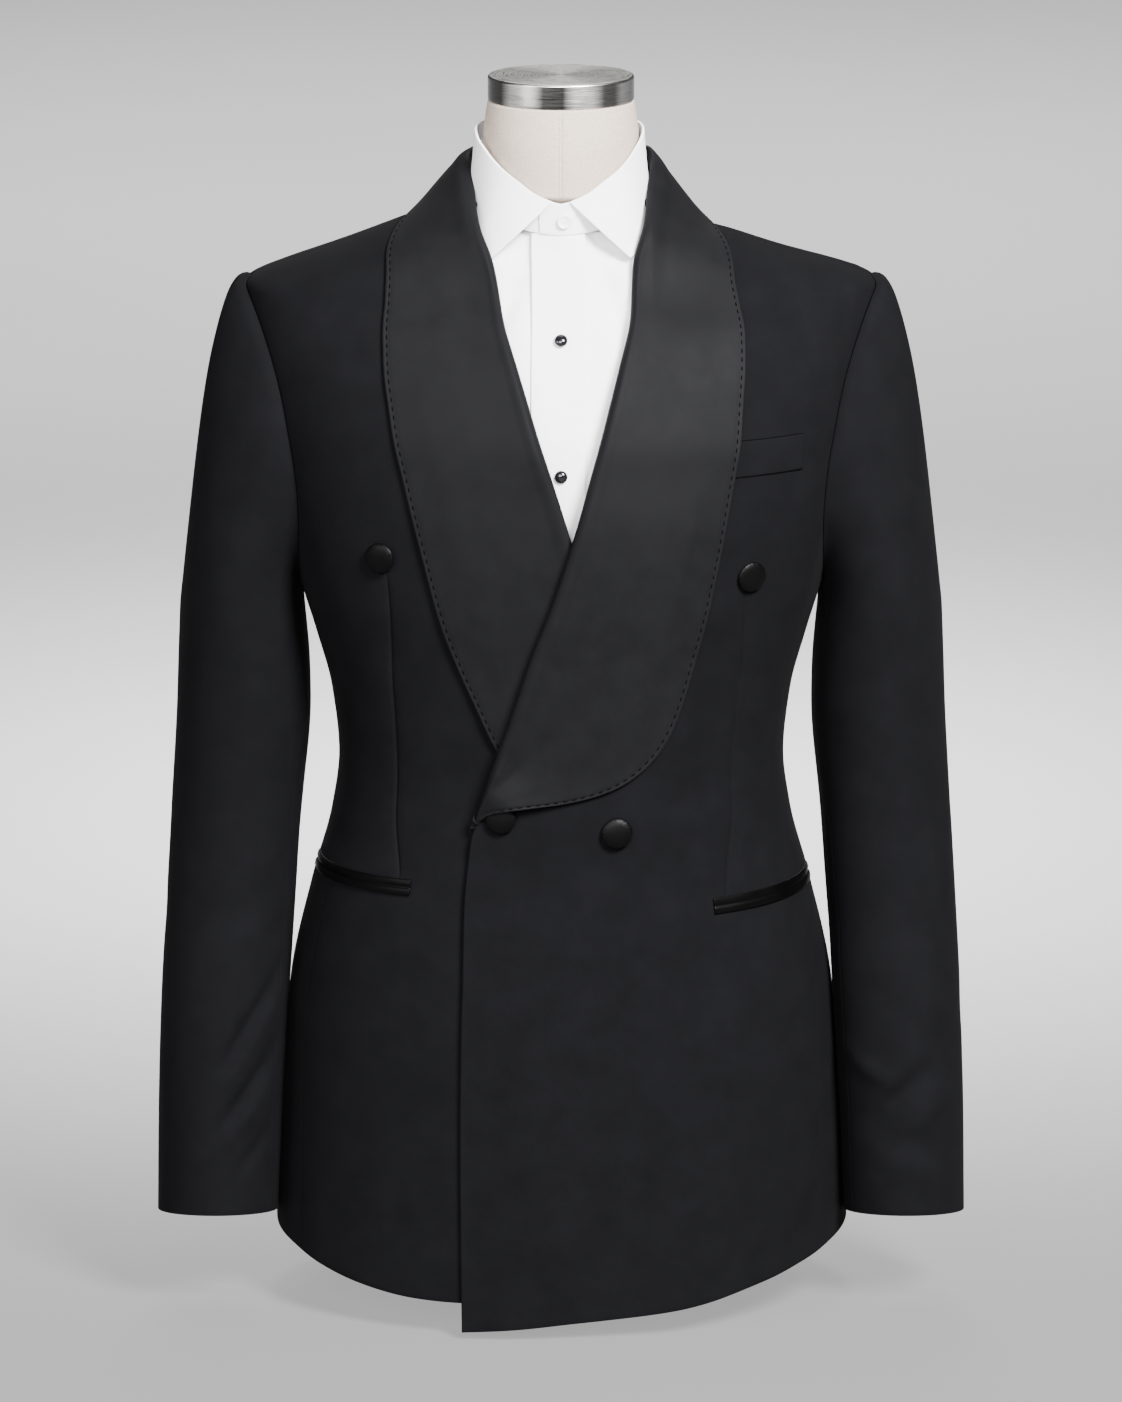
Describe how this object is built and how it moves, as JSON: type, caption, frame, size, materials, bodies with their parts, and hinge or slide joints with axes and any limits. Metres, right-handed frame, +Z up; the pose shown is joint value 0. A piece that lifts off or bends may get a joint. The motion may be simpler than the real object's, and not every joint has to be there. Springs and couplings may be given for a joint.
{
  "type": "tuxedo on a dress form",
  "caption": "Black double-breasted dinner jacket with a satin shawl collar over a white dress shirt, on a limbless linen dress form with a steel neck cap.",
  "frame": {"origin": "centre of the plan of the bounding box, on the floor under the foot of the form", "axes": "+Z up the form from its foot to the neck cap; the chest faces -Y, so +Y, the shortest extent, points out of the back; +X is the wearer's left"},
  "size_m": [0.5686, 0.2777, 0.864],
  "materials": {
    "wool": "matt black worsted wool with a fine broken rib",
    "satin": "black satin with a soft sheen",
    "cotton": "smooth white cotton",
    "pearl": "glossy white shirt button",
    "onyx": "polished black dress stud",
    "linen": "pale natural linen over a smooth form",
    "steel": "brushed steel"
  },
  "bodies": {
    "root": {"front_left": "wool", "front_right": "wool", "side_left": "wool", "side_right": "wool", "back_left": "wool", "back_right": "wool", "upper_sleeve_left": "wool", "upper_sleeve_right": "wool", "under_sleeve_left": "wool", "under_sleeve_right": "wool", "button_upper_left": "wool", "button_upper_right": "wool", "button_lower_left": "wool", "button_fastened": "wool", "chest_welt": "wool", "shawl_left": "satin", "shawl_right": "satin", "hip_welt_left": "satin", "hip_welt_right": "satin", "shirt_front_left": "cotton", "shirt_front_right": "cotton", "shirt_back": "cotton", "shirt_placket": "cotton", "collar_band": "cotton", "shirt_collar": "cotton", "collar_button": "pearl", "stud_upper": "onyx", "stud_lower": "onyx", "form_torso": "linen", "form_base": "linen", "neck_cap": "steel"}
  },
  "joints": []
}
